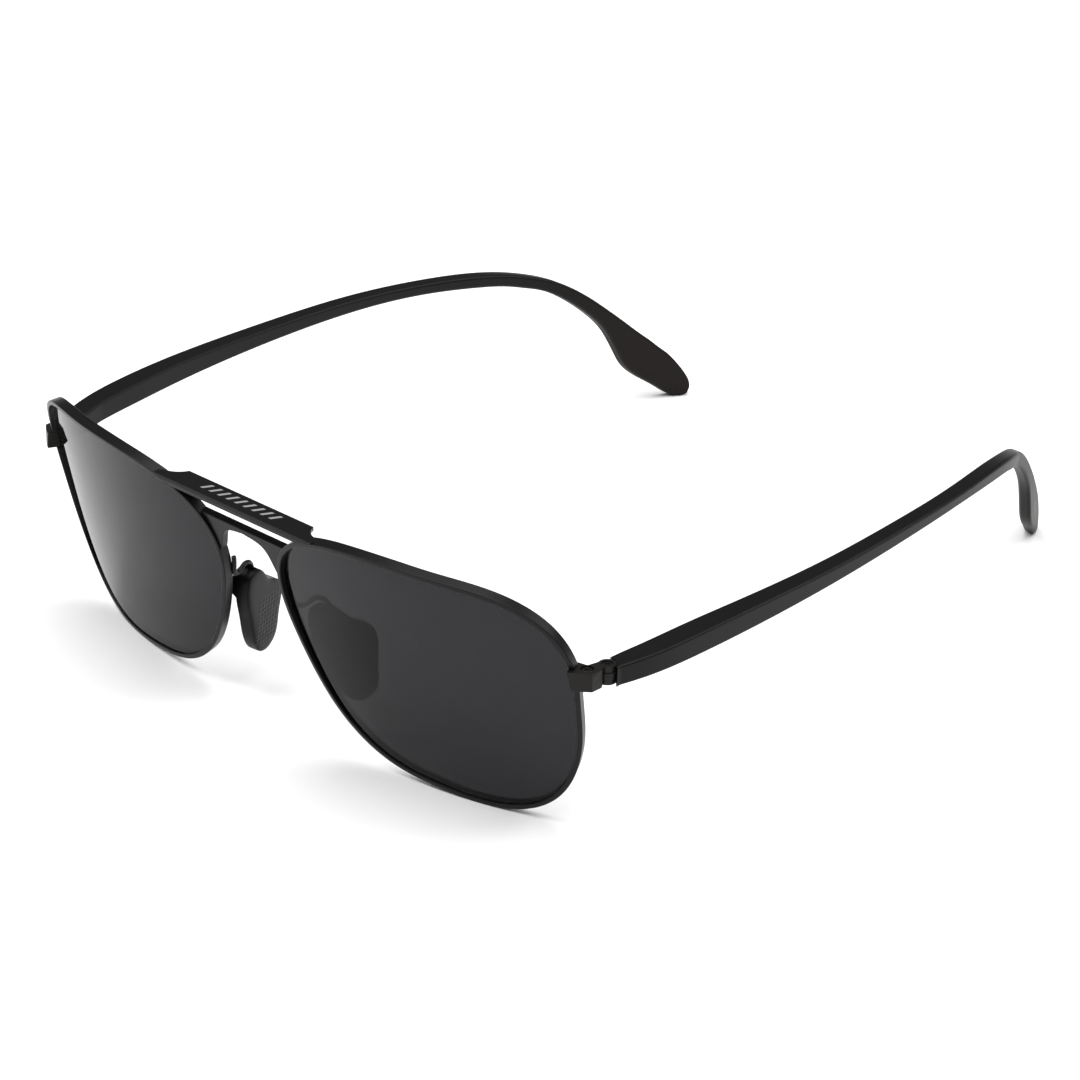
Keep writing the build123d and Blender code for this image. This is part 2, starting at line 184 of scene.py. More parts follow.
# black oxide on small screws: darker, with a tight sheen on the drive's edges
SCREW_OXIDE = Finish("black_oxide_screw", "#121110", 0.3, 0.06, 0.003, specular=0.35)
# satin moulded nylon: soft broad highlights and a spark-eroded micro grain
ARM_NYLON = Finish("moulded_nylon", "#0f0e0e", 0.36, 0.14, 0.006, ior=1.53, specular=0.14)
# moulded carrier, duller than the arm
CARRIER_NYLON = Finish("carrier_nylon", "#101010", 0.45, 0.12, 0.005, ior=1.53, specular=0.2)
# satin moulded panel pressed into the tip: smoother than the rubber, with an even sheen
BADGE_PANEL = Finish("badge_panel", "#1a1918", 0.4, 0.2, 0.002, specular=0.12)
# bare drawn steel wire inside the arm and the tip: bright, with a fine drawn grain
CORE_STEEL = Finish("drawn_steel", "#9a9a9c", 0.3, 0.1, 0.003, metallic=1.0)
# laser marking burns the black coat away to the pale steel
LASER_MARK = Finish("laser_marked_steel", "#8d8b8a", 0.45, 0.05, 0.002, specular=0.5)


@dataclass(frozen=True)
class RubberFinish(Finish):
    """Soft-touch rubber whose brown tone fades in from the arm's black along +Y."""

    arm_colour: str = "#0f0e0e"
    fade_from_mm: float = 50.0
    fade_to_mm: float = 72.0

    def surface(self, tree: bpy.types.NodeTree) -> dict:
        """Return the grain of Finish with the colour fading along the tip."""
        links = super().surface(tree)
        place = add_node(tree, "ShaderNodeTexCoord", {}, {})
        split = add_node(tree, "ShaderNodeSeparateXYZ", {}, {"Vector": place.outputs["Object"]})
        along = add_node(tree, "ShaderNodeMapRange",
                         {"From Min": self.fade_from_mm * MM, "From Max": self.fade_to_mm * MM},
                         {"Value": split.outputs["Y"]})
        colour = add_node(tree, "ShaderNodeMix",
                          {"data_type": "RGBA", "A": srgb(self.arm_colour)},
                          {"Factor": along.outputs["Result"], "B": links["Base Color"]})
        links["Base Color"] = colour.outputs[2]
        return links


TIP_RUBBER = RubberFinish("soft_touch_rubber", "#17120f", 0.44, 0.16, 0.008, specular=0.14)


@dataclass(frozen=True)
class PadFinish(Finish):
    """Moulded silicone with a raised square grid over the part that meets the nose."""

    pitch_mm: float = 0.92
    line_share: float = 0.2
    line_height_mm: float = 0.12
    line_strength: float = 0.9
    # paler colour painted on the grid's lines: a painted highlight for light on the raised ridges
    ridge_highlight_colour: str = "#2c2c2c"

    def surface(self, tree: bpy.types.NodeTree) -> dict:
        """Return the silicone's grain with the grid added to its relief, and a painted highlight
        on its lines.

        The grid is read from the piece's own UV map, whose unit is a millimetre:
        a line stands wherever either coordinate is near a multiple of the pitch.
        """
        links = super().surface(tree)
        uv = add_node(tree, "ShaderNodeUVMap", {"uv_map": "pad_mm"}, {})
        split = add_node(tree, "ShaderNodeSeparateXYZ", {}, {"Vector": uv.outputs["UV"]})
        bars = []
        for axis in ("X", "Y"):
            turn = add_node(tree, "ShaderNodeMath",
                            {"operation": "PINGPONG", 1: self.pitch_mm / 2},
                            {0: split.outputs[axis]})
            bar = add_node(tree, "ShaderNodeMapRange",
                           {"From Min": 0.0, "From Max": self.pitch_mm * self.line_share,
                            "To Min": 1.0, "To Max": 0.0, "interpolation_type": "SMOOTHSTEP"},
                           {"Value": turn.outputs["Value"]})
            bars.append(bar)
        grid = add_node(tree, "ShaderNodeMath", {"operation": "MAXIMUM"},
                        {0: bars[0].outputs["Result"], 1: bars[1].outputs["Result"]})
        mask = add_node(tree, "ShaderNodeAttribute", {"attribute_name": "gridded"}, {})
        patch = add_node(tree, "ShaderNodeMath", {"operation": "MULTIPLY"},
                         {0: grid.outputs["Value"], 1: mask.outputs["Fac"]})
        relief = add_node(tree, "ShaderNodeBump",
                          {"Strength": self.line_strength, "Distance": self.line_height_mm * MM},
                          {"Height": patch.outputs["Value"], "Normal": links["Normal"]})
        # painted highlight: the grid's lines are mixed toward the paler colour
        pale = add_node(tree, "ShaderNodeMix",
                        {"data_type": "RGBA", "B": srgb(self.ridge_highlight_colour)},
                        {"Factor": patch.outputs["Value"], "A": links["Base Color"]})
        links["Base Color"] = pale.outputs[2]
        links["Normal"] = relief.outputs["Normal"]
        return links


PAD_SILICONE = PadFinish("moulded_silicone", "#0b0b0b", 0.36, 0.2, 0.004, ior=1.41, specular=0.14)


@dataclass(frozen=True)
class TintedLens:
    """Neutral grey polycarbonate with an anti-reflection coat on both faces.

    The coat is why the IOR is 1.2 and not polycarbonate's 1.58: the faces reflect less.
    """

    name: str = "grey_polycarbonate"
    tint: str = "#262527"
    ior: float = 1.2
    roughness: float = 0.01
    haze_mm: float = 14.0
    haze_spread: float = 0.02

    def material(self) -> bpy.types.Material:
        """Build the tinted, slightly see-through material."""
        made = bpy.data.materials.new(self.name)
        made.use_nodes = True
        tree = made.node_tree
        tree.nodes.clear()
        place = add_node(tree, "ShaderNodeTexCoord", {}, {})
        haze = add_node(tree, "ShaderNodeTexNoise",
                        {"Scale": 1.0 / (self.haze_mm * MM), "Detail": 2.0},
                        {"Vector": place.outputs["Object"]})
        gloss = add_node(tree, "ShaderNodeMapRange",
                         {"To Min": self.roughness, "To Max": self.roughness + self.haze_spread},
                         {"Value": haze.outputs["Fac"]})
        shader = add_node(tree, "ShaderNodeBsdfPrincipled",
                          {"Base Color": srgb(self.tint), "IOR": self.ior,
                           "Transmission Weight": 1.0},
                          {"Roughness": gloss.outputs["Result"]})
        add_node(tree, "ShaderNodeOutputMaterial", {}, {"Surface": shader.outputs["BSDF"]})
        return made


# ------------------------------------------------------------------------- geometry
def smooth_curve(points: np.ndarray, count: int, closed: bool) -> np.ndarray:
    """Run a cubic spline through points, spaced by chord length.

    Each span is a cubic whose slopes at the points make the curvature continuous; the
    slopes come from one linear solve.

    Args:
        points: rows of coordinates, without a repeated last point on a closed curve.
        count: how many points to return.
        closed: whether the last point joins the first.

    Returns:
        Rows of coordinates, evenly spaced in the chord parameter.
    """
    knots = np.vstack([points, points[:1]]) if closed else np.asarray(points, float)
    gaps = np.linalg.norm(np.diff(knots, axis=0), axis=1)
    at = np.concatenate([[0.0], np.cumsum(gaps)])
    size = len(knots)
    matrix = np.zeros((size, size))
    right = np.zeros((size, knots.shape[1]))
    inner = np.arange(1, size - 1)
    matrix[inner, inner - 1] = gaps[inner]
    matrix[inner, inner] = 2 * (gaps[inner - 1] + gaps[inner])
    matrix[inner, inner + 1] = gaps[inner - 1]
    rise = np.diff(knots, axis=0) / gaps[:, None]
    right[inner] = 3 * (gaps[inner, None] * rise[inner - 1] + gaps[inner - 1, None] * rise[inner])
    if closed:
        matrix[0, [0, 1, size - 2]] = [2 * (gaps[-1] + gaps[0]), gaps[-1], gaps[0]]
        right[0] = 3 * (gaps[0] * rise[-1] + gaps[-1] * rise[0])
        matrix[-1, [0, -1]] = [1, -1]
    else:
        matrix[0, :2] = [2, 1]
        matrix[-1, -2:] = [1, 2]
        right[0], right[-1] = 3 * rise[0], 3 * rise[-1]
    slopes = np.linalg.solve(matrix, right)
    where = np.linspace(0, at[-1], count, endpoint=not closed)
    span = np.clip(np.searchsorted(at, where, side="right") - 1, 0, size - 2)
    u = ((where - at[span]) / gaps[span])[:, None]
    step = gaps[span][:, None]
    return ((2 * u**3 - 3 * u**2 + 1) * knots[span] + (u**3 - 2 * u**2 + u) * step * slopes[span]
            + (3 * u**2 - 2 * u**3) * knots[span + 1] + (u**3 - u**2) * step * slopes[span + 1])


def grid_faces(rows: int, columns: int, wrap_rows: bool, wrap_columns: bool) -> np.ndarray:
    """Return the quads of a grid whose vertices run row by row.

    Args:
        rows: number of rows.
        columns: vertices in a row.
        wrap_rows: whether the last row joins the first.
        wrap_columns: whether each row is a closed ring.

    Returns:
        An array of four vertex numbers per face.
    """
    r = np.arange(rows if wrap_rows else rows - 1)[:, None]
    c = np.arange(columns if wrap_columns else columns - 1)[None, :]
    near, far = r * columns, ((r + 1) % rows) * columns
    after = (c + 1) % columns
    return np.stack([near + c, far + c, far + after, near + after], axis=-1).reshape(-1, 4)


def rounded_ring(half_wide: np.ndarray, half_high: np.ndarray, radius: np.ndarray,
                 steps: int) -> tuple[np.ndarray, np.ndarray]:
    """Return rings shaped as rectangles with round corners.

    A ring is four quarter circles, each about its corner's centre.

    Args:
        half_wide: half widths, one per ring.
        half_high: half heights, one per ring.
        radius: corner radii, one per ring.
        steps: points on each quarter circle.

    Returns:
        Sideways and upward coordinates, a row per ring.
    """
    quarter = np.arange(4).repeat(steps + 2)
    along = np.concatenate([[0.0], np.linspace(0, 1, steps), [1.0]])
    angle = (quarter + np.tile(along, 4)) * math.pi / 2
    # one point more at each end of a corner, a little way along the flat, so that the
    # flats shade flat
    run = np.tile(np.concatenate([[-1.0], np.zeros(steps), [1.0]]), 4)
    sign_wide = np.where((quarter == 0) | (quarter == 3), 1.0, -1.0)
    sign_high = np.where(quarter < 2, 1.0, -1.0)
    r = np.minimum(radius, 0.98 * np.minimum(half_wide, half_high))[:, None]
    step = 0.4 * np.minimum(np.minimum(half_wide, half_high)[:, None] - r, 0.15) * run
    wide = sign_wide * (half_wide[:, None] - r) + r * np.cos(angle) - step * np.sin(angle)
    high = sign_high * (half_high[:, None] - r) + r * np.sin(angle) + step * np.cos(angle)
    return wide, high


def carve(piece: bpy.types.Object, cutter: bpy.types.Object) -> None:
    """Take a cutter's shape out of a piece's mesh and remove the cutter.

    Args:
        piece: the piece to cut.
        cutter: a closed mesh object.
    """
    cut = piece.modifiers.new("carve", "BOOLEAN")
    cut.operation, cut.object = "DIFFERENCE", cutter
    bpy.context.view_layer.update()
    shaped = bpy.data.meshes.new_from_object(
        piece.evaluated_get(bpy.context.evaluated_depsgraph_get()))
    piece.modifiers.remove(cut)
    piece.data = shaped
    piece.data.set_sharp_from_angle(angle=SHARP_ANGLE)
    bpy.data.objects.remove(cutter)


@dataclass
class Workshop:
    count: int = 0

    def piece(self, name: str, points: np.ndarray, faces: list, finish: bpy.types.Material,
              body: str, slot: str, replaces: tuple[str, ...] = (), flat: bool = False,
              ) -> bpy.types.Object:
        """Make a mesh piece from points in millimetres.

        Args:
            name: the piece's name.
            points: rows of X, Y, Z in millimetres.
            faces: vertex numbers of each face.
            finish: the material.
            body: the CAD body it rides on.
            slot: a material slot's name; not used.
            replaces: the CAD nodes that it stands for.
            flat: whether to leave the faces flat shaded.

        Returns:
            The new object.
        """
        mesh = bpy.data.meshes.new(name)
        mesh.from_pydata((np.asarray(points) * MM).tolist(), [], [tuple(f) for f in faces])
        mesh.validate()
        work = bmesh.new()
        work.from_mesh(mesh)
        bmesh.ops.remove_doubles(work, verts=work.verts, dist=1e-7)
        bmesh.ops.recalc_face_normals(work, faces=work.faces)
        work.to_mesh(mesh)
        work.free()
        made = bpy.data.objects.new(name, mesh)
        bpy.context.scene.collection.objects.link(made)
        self.dress(made, finish, body, replaces, flat)
        return made

    def refined(self, node: str, finish: bpy.types.Material, body: str,
                bevel_mm: float) -> bpy.types.Object:
        """Stand a merged copy with softened edges in for a CAD node.

        Args:
            node: the CAD node's name.
            finish: the material.
            body: the CAD body it rides on.
            bevel_mm: width of the rounding on its edges.

        Returns:
            The new object.
        """
        source = bpy.data.objects[node]
        mesh = source.data.copy()
        mesh.transform(source.matrix_world)
        mesh.materials.clear()
        work = bmesh.new()
        work.from_mesh(mesh)
        bmesh.ops.remove_doubles(work, verts=work.verts, dist=2e-6)
        bmesh.ops.dissolve_limit(work, angle_limit=math.radians(1.5), verts=work.verts,
                                 edges=work.edges)
        bmesh.ops.recalc_face_normals(work, faces=work.faces)
        work.to_mesh(mesh)
        work.free()
        made = bpy.data.objects.new(f"{node}_refined", mesh)
        bpy.context.scene.collection.objects.link(made)
        self.dress(made, finish, body, (node,), False)
        self.soften(made, bevel_mm)
        return made

    def soften(self, made: bpy.types.Object, bevel_mm: float) -> None:
        """Round a piece's sharp edges.

        Args:
            made: the piece.
            bevel_mm: width of the rounding.
        """
        bevel = made.modifiers.new("soft_edges", "BEVEL")
        bevel.width = bevel_mm * MM
        bevel.segments = 2
        bevel.limit_method = "ANGLE"
        bevel.angle_limit = math.radians(32)
        bevel.use_clamp_overlap = True
        bevel.harden_normals = True

    def dress(self, made: bpy.types.Object, finish: bpy.types.Material, body: str,
              replaces: tuple[str, ...], flat: bool) -> None:
        """Give a piece its material, shading and body.

        Args:
            made: the piece.
            finish: the material.
            body: the CAD body it rides on.
            replaces: the CAD nodes that it stands for.
            flat: whether to leave the faces flat shaded.
        """
        made.data.materials.append(finish)
        if flat:
            made.data.shade_flat()
        else:
            made.data.shade_smooth()
            made.data.set_sharp_from_angle(angle=SHARP_ANGLE)
        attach(made, body)
        if replaces:
            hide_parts(*replaces)
        self.count += 1
        log.info("%s: %d faces on %s", made.name, len(made.data.polygons), body)


@dataclass
class BentFront:
    """The surface that both rims and lenses follow: a wrapped, tilted, bent sheet."""

    spacing: float = 65.7
    origin: tuple[float, float, float] = (0.0, -77.2, 23.5)
    tilt: float = 14.4
    wrap: float = 8.1
    curve: float = 98.0
    bulge: float = 940.0

    def place(self, across: np.ndarray, up: np.ndarray, depth: np.ndarray,
              side: Side) -> np.ndarray:
        """Carry points of one eye from its flat drawing to the model's frame.

        A point turns about an upright axis one curve radius behind the eye by the angle
        whose sine is across / curve; depth moves it toward that axis. The eye is then
        turned by wrap, moved out to its centre, and tilted with the whole front.

        Args:
            across: distance outboard from the eye's centre.
            up: distance up the front.
            depth: distance behind the front face.
            side: which eye.

        Returns:
            Rows of X, Y, Z.
        """
        sine = across / self.curve
        reach = self.curve - depth
        ahead = reach * np.sqrt(1 - sine**2) - self.curve
        wrap, tilt = math.radians(self.wrap), math.radians(self.tilt)
        x = reach * sine * math.cos(wrap) + ahead * math.sin(wrap) + self.spacing / 2
        forward = ahead * math.cos(wrap) - reach * sine * math.sin(wrap)
        y = self.origin[1] - forward * math.cos(tilt) - up * math.sin(tilt)
        z = self.origin[2] - forward * math.sin(tilt) + up * math.cos(tilt)
        return np.stack([side.value * x, y, z], axis=-1)


@dataclass
class Eye:
    """A rim and its lens."""

    front: BentFront
    side: Side
    rim_width: float = 0.9
    rim_depth: float = 2.1
    edge_radius: float = 0.16
    groove: float = 0.4
    lens_thickness: float = 0.8
    lens_recess: float = 0.75
    lens_bulge: float = 900.0
    lens_lean: float = 0.02
    lock_heights: tuple[float, float] = (30.2, 32.8)
    lock_outboard: float = 50.0
    outline: tuple = (
        (32.8, 0), (33.1, 5.2), (32.1, 10.4), (29.5, 15.0), (25.3, 18.5), (20.2, 20.6),
        (10.6, 22.1), (2.8, 22.8), (-4.7, 22.9), (-12.7, 22.0), (-16.9, 20.7), (-20.7, 18.5),
        (-23.7, 15.1), (-25.3, 10.8), (-25.5, 6.4), (-23.5, -1.9), (-20.6, -8.8),
        (-16.7, -14.9), (-11.3, -19.6), (-4.6, -22.5), (2.9, -23.9), (12.1, -25.0),
        (17.4, -24.7), (22.6, -23.0), (26.8, -19.6), (29.7, -15.0), (31.9, -8.0),
    )

    def edge(self, count: int, inset: float | np.ndarray) -> np.ndarray:
        """Return the rim's outline moved inward along its own normal.

        Args:
            count: points round the outline.
            inset: distance inward.

        Returns:
            Rows of across and up.
        """
        line = smooth_curve(np.array(self.outline, float), count, True)
        along = np.roll(line, -1, axis=0) - np.roll(line, 1, axis=0)
        along /= np.linalg.norm(along, axis=1)[:, None]
        return line + inset * np.stack([-along[:, 1], along[:, 0]], axis=1)

    def build_rim(self, shop: Workshop) -> None:
        """Carry a round-edged bar round the outline, open where the rim lock sits."""
        count = 420
        wide, deep = rounded_ring(np.array([self.rim_width / 2]), np.array([self.rim_depth / 2]),
                                  np.array([self.edge_radius]), 5)
        rings = [self.edge(count, w + self.rim_width / 2) for w in wide[0]]
        line = np.stack(rings, axis=1)
        points = self.front.place(line[..., 0], line[..., 1], deep[0][None, :]
                                  + self.rim_depth / 2 + line[..., 1]**2 / (2 * self.front.bulge),
                                  self.side)
        middle = points.mean(axis=1)
        low, high = self.lock_heights
        locked = (middle[:, 2] > low) & (middle[:, 2] < high) & (
            np.abs(middle[:, 0]) > self.lock_outboard)
        start = int(np.flatnonzero(locked)[-1]) if not locked[0] else int(
            np.flatnonzero(locked[:count // 2])[-1])
        points = np.roll(points, -start - 1, axis=0)[:count - int(locked.sum())]
        ring = points.shape[1]
        faces = grid_faces(len(points), ring, False, True).tolist()
        faces += [list(range(ring)), list(range((len(points) - 1) * ring, len(points) * ring))]
        shop.piece(f"rim_{self.side.word}_bar", points.reshape(-1, 3), faces,
                   FRAME_COAT.material(), "front", "frame_metal", (f"rim_{self.side.word}",))

    def build_lens(self, shop: Workshop, finish: bpy.types.Material) -> None:
        """Make the lens from two bulged faces that share the groove's outline."""
        count, rings = 180, 26
        edge = self.edge(count, self.rim_width - self.groove)
        centre = edge.mean(axis=0)
        share = np.sin(np.linspace(0, 1, rings) * math.pi / 2)[:, None, None]
        flat = centre + share * (edge - centre)
        sag = (self.lens_recess + self.lens_lean * flat[..., 1]
               + flat[..., 1]**2 / (2 * self.lens_bulge))
        near = self.front.place(flat[..., 0], flat[..., 1], sag, self.side)
        far = self.front.place(flat[..., 0], flat[..., 1], sag + self.lens_thickness, self.side)
        points = np.concatenate([near, far[::-1]])
        faces = grid_faces(2 * rings, count, False, True).tolist()
        shop.piece(f"lens_{self.side.word}_glass", points.reshape(-1, 3), faces, finish,
                   "front", "lens_tint", (f"lens_{self.side.word}",))


@dataclass
class Temple:
    """The moulded arm and its rubber tip, as one line cut at the seam."""

    side: Side
    hinge: tuple[float, float] = (66.6, -63.5)
    seam_back: float = 117.0
    recess_radius: float = 1.66
    recess_tall: float = 8.0
    recess_middle: float = 31.5
    # the front end runs back by this much for each millimetre inward
    slant: float = 0.585
    square_by: float = 8.0
    # pairs of points on the top edge and the underside, seen from the side
    edges: tuple = (
        ((-1.0, 33.1), (-1.0, 29.6)), ((8.3, 33.9), (8.3, 30.15)), ((26.3, 34.8), (26.3, 30.95)),
        ((51.3, 34.95), (51.3, 31.9)), ((73.3, 35.0), (73.3, 32.4)),
        ((92.3, 34.25), (91.8, 31.85)), ((104.3, 33.2), (102.9, 30.75)),
        ((112.3, 31.7), (110.4, 29.5)),
        ((115.5, 30.8), (113.3, 28.7)), ((118.3, 29.8), (115.9, 27.95)),
        ((124.3, 26.4), (121.6, 24.9)), ((130.3, 21.5), (127.8, 19.5)),
        ((134.5, 17.6), (130.6, 15.8)), ((137.0, 15.2), (132.1, 12.8)),
        ((139.3, 13.1), (133.3, 10.1)), ((140.9, 11.5), (134.5, 7.8)),
        ((142.3, 10.2), (136.2, 5.9)), ((144.4, 7.6), (138.7, 3.95)),
        ((146.0, 5.1), (141.2, 2.05)), ((146.85, 3.2), (143.0, 0.65)),
        ((146.95, 1.8), (144.4, 0.05)), ((146.55, 0.85), (145.5, 0.1)),
    )
    outer: tuple = (
        (2.3, -0.1), (4.4, 8.0), (5.5, 17.2), (6.3, 36.0), (6.25, 50.0), (5.6, 64.0),
        (3.6, 83.0), (-0.3, 102.0), (-3.4, 112.0), (-8.0, 122.4), (-13.5, 134.3),
        (-20.1, 146.7), (-21.3, 149.0),
    )
    inner: tuple = (
        (-1.4, -2.0), (-0.95, 1.8), (-0.05, 8.0), (0.95, 17.2), (1.85, 26.3), (2.7, 45.0),
        (2.2, 64.0), (0.3, 83.0), (-3.7, 102.0), (-6.7, 112.0), (-11.0, 122.4),
        (-16.5, 134.5), (-23.1, 146.7), (-24.4, 149.0),
    )

    def rings(self) -> np.ndarray:
        """Return the section rings of the whole line, in millimetres.

        A ring spans from the underside to the top edge; sideways it reaches from the
        inner to the outer line of the plan at each point's own distance back.
        """
        pairs = np.array(self.edges, float).reshape(len(self.edges), 4)
        line = smooth_curve(pairs, 361, False)
        top, low = line[:, :2], line[:, 2:]
        span = np.linalg.norm(top - low, axis=1) / 2
        outer = smooth_curve(np.array(self.outer, float), 400, False)
        inner = smooth_curve(np.array(self.inner, float), 400, False)
        middle = (top + low) / 2
        reach = (np.interp(middle[:, 0], outer[:, 1], outer[:, 0])
                 - np.interp(middle[:, 0], inner[:, 1], inner[:, 0])) / 2
        share = np.linspace(0, 1, len(line))
        corner = np.interp(share, [0, 0.08, 0.3, 0.55, 0.8, 1.0], [0.35, 0.4, 0.5, 0.65, 0.8, 0.8])
        wide, high = rounded_ring(reach, span, corner, 7)
        unit = (top - low) / (2 * span[:, None])
        back = middle[:, None, 0] + high * unit[:, None, 0]
        height = middle[:, None, 1] + high * unit[:, None, 1]
        out = np.interp(back, outer[:, 1], outer[:, 0])
        inn = np.interp(back, inner[:, 1], inner[:, 0])
        sideways = (out + inn) / 2 + (out - inn) / 2 * wide / reach[:, None]
        # the front end is cut at a slant, and the rings behind it ease back to square
        start, (corner_out, corner_back) = back[0, 0], self.outer[0]
        cut = corner_back + self.slant * (corner_out - sideways)
        eased = cut + (back - start) * (self.square_by - cut) / (self.square_by - start)
        back = np.where(back < self.square_by, eased, back)
        return np.stack([self.side.value * (self.hinge[0] + sideways),
                         self.hinge[1] + back, height], axis=-1)

    def build(self, shop: Workshop) -> None:
        """Make the arm and the tip from the same rings, split at the seam's ring."""
        rings = self.rings()
        seam_y = self.hinge[1] + self.seam_back
        cut = int(np.argmin(np.abs(rings.mean(axis=1)[:, 1] - seam_y)))
        ring = rings.shape[1]
        word = self.side.word
        for name, part, finish, slot in (
            ("arm", rings[:cut + 1], ARM_NYLON.material(), "temple_plastic"),
            ("tip", rings[cut:], TIP_RUBBER.material(), "tip_rubber"),
        ):
            faces = grid_faces(len(part), ring, False, True).tolist()
            faces += [list(range(ring)), list(range((len(part) - 1) * ring, len(part) * ring))]
            made = shop.piece(f"temple_{name}_{word}_moulding", part.reshape(-1, 3), faces, finish,
                              f"temple_{word}", slot, (f"temple_{name}_{word}",))
            if name == "arm":
                self.hollow_front(made)

    def hollow_front(self, arm: bpy.types.Object) -> None:
        """Cut the round hollow that clears the hinge barrel out of the arm's front end."""
        bpy.ops.mesh.primitive_cylinder_add(
            vertices=48, radius=self.recess_radius * MM, depth=self.recess_tall * MM,
            location=(self.side.value * self.hinge[0] * MM, self.hinge[1] * MM,
                      self.recess_middle * MM))
        carve(arm, bpy.context.object)


@dataclass
class NosePad:
    """The silicone pad, pillowed between its outline and its two faces."""

    side: Side
    origin: tuple[float, float, float] = (11.4, -67.5, 15.5)
    splay: float = 15.0
    flare: float = 7.0
    thickness: float = 3.0
    outline: tuple = (
        (6.6, 7.6), (6.2, 9.4), (4.4, 10.2), (2.4, 9.7), (1.1, 8.5), (-0.4, 6.9), (-2.0, 6.0),
        (-4.2, 4.7), (-5.2, 2.6), (-5.0, -2.0), (-4.3, -7.0), (-2.6, -8.3), (0.2, -7.9),
        (1.7, -6.3), (4.5, 0.3),
    )
    hood_foot: float = 5.2
    hood_depth: float = 1.1
    # room inside the hood: centre and size, each as forward, up, toward the nose
    pocket: tuple = ((3.45, 7.7, -0.9), (4.3, 2.8, 2.7))
    wire_way: tuple = ((3.4, 9.7, -0.55), (2.1, 3.4, 2.1))
    # the moulded grid: forward limit, lowest and highest, and how near the nose it starts
    grid_forward: float = 2.4
    grid_heights: tuple[float, float] = (-6.4, 3.6)
    grid_nose: float = 0.3

    def axes(self) -> np.ndarray:
        """Return the pad's forward, up and noseward directions as rows."""
        splay, flare = math.radians(self.splay), math.radians(self.flare)
        forward = np.array([-math.sin(splay), -math.cos(splay), 0.0])
        nose = np.array([-math.cos(splay) * math.cos(flare),
                         math.sin(splay) * math.cos(flare), -math.sin(flare)])
        return np.stack([forward, np.cross(nose, forward), nose])

    def build(self, shop: Workshop) -> None:
        """Make the pad, its rounded edge, its hood and the room inside for the arm's box.

        Half the thickness falls to the edge as (1 - share^8)^(1/8), where share runs
        from 0 at the middle to 1 at the outline; above the hood's foot the side away
        from the nose swells by the hood's depth, eased in over a millimetre.
        """
        count, rings = 160, 30
        edge = smooth_curve(np.array(self.outline, float), count, True)
        centre = edge.mean(axis=0)
        share = np.sin(np.linspace(0, 1, rings) * math.pi / 2)
        fall = ((1 - share**8) ** 0.125)[:, None, None]
        flat = centre + share[:, None, None] * (edge - centre)
        near = np.concatenate([flat, fall * np.full_like(flat[..., :1], self.thickness / 2)],
                              axis=-1)
        ease = np.clip((flat[..., 1:] - self.hood_foot + 0.5) / 1.0, 0, 1)
        swell = self.hood_depth * ease**2 * (3 - 2 * ease)
        far = np.concatenate([flat, -fall * (self.thickness / 2 + swell)], axis=-1)[::-1][1:]
        local = np.concatenate([near, far]).reshape(-1, 3)
        faces = grid_faces(2 * rings - 1, count, False, True).tolist()
        word = self.side.word
        made = shop.piece(f"nose_pad_{word}_silicone", self.world(local), faces,
                          PAD_SILICONE.material(), f"pad_{word}", "pad_silicone",
                          (f"nose_pad_{word}",))
        for middle, size in (self.pocket, self.wire_way):
            self.cut(made, np.array(middle), np.array(size) / 2)
        self.mark_grid(made)

    def world(self, local: np.ndarray) -> np.ndarray:
        """Carry rows of forward, up and noseward to the model's frame."""
        points = np.array(self.origin) + local @ self.axes()
        points[:, 0] *= self.side.value
        return points

    def cut(self, pad: bpy.types.Object, centre: np.ndarray, half: np.ndarray) -> None:
        """Cut a box out of the pad.

        Args:
            pad: the pad.
            centre: the box's middle as forward, up and noseward.
            half: its half sizes, in the same order.
        """
        corners = np.array([[i, j, k] for i in (-1, 1) for j in (-1, 1) for k in (-1, 1)])
        block = bmesh.new()
        for point in self.world(centre + corners * half) * MM:
            block.verts.new(point)
        bmesh.ops.convex_hull(block, input=block.verts)
        bmesh.ops.recalc_face_normals(block, faces=block.faces)
        mesh = bpy.data.meshes.new("pocket")
        block.to_mesh(mesh)
        block.free()
        cutter = bpy.data.objects.new("pocket", mesh)
        bpy.context.scene.collection.objects.link(cutter)
        carve(pad, cutter)

    def mark_grid(self, pad: bpy.types.Object) -> None:
        """Write the pad's own millimetre map, and where the moulded grid stands."""
        mesh = pad.data
        points = np.zeros(3 * len(mesh.vertices))
        mesh.vertices.foreach_get("co", points)
        points = points.reshape(-1, 3) / MM
        points[:, 0] *= self.side.value
        local = (points - np.array(self.origin)) @ self.axes().T
        corner = np.zeros(len(mesh.loops), dtype=np.int64)
        mesh.loops.foreach_get("vertex_index", corner)
        layer = mesh.uv_layers.new(name="pad_mm")
        layer.data.foreach_set("uv", local[corner, :2].astype(np.float32).ravel())
        low, high = self.grid_heights
        inside = ((local[:, 2] > self.grid_nose) & (local[:, 0] < self.grid_forward)
                  & (local[:, 1] < high) & (local[:, 1] > low))
        mask = mesh.attributes.new("gridded", "FLOAT", "POINT")
        mask.data.foreach_set("value", inside.astype(np.float32))


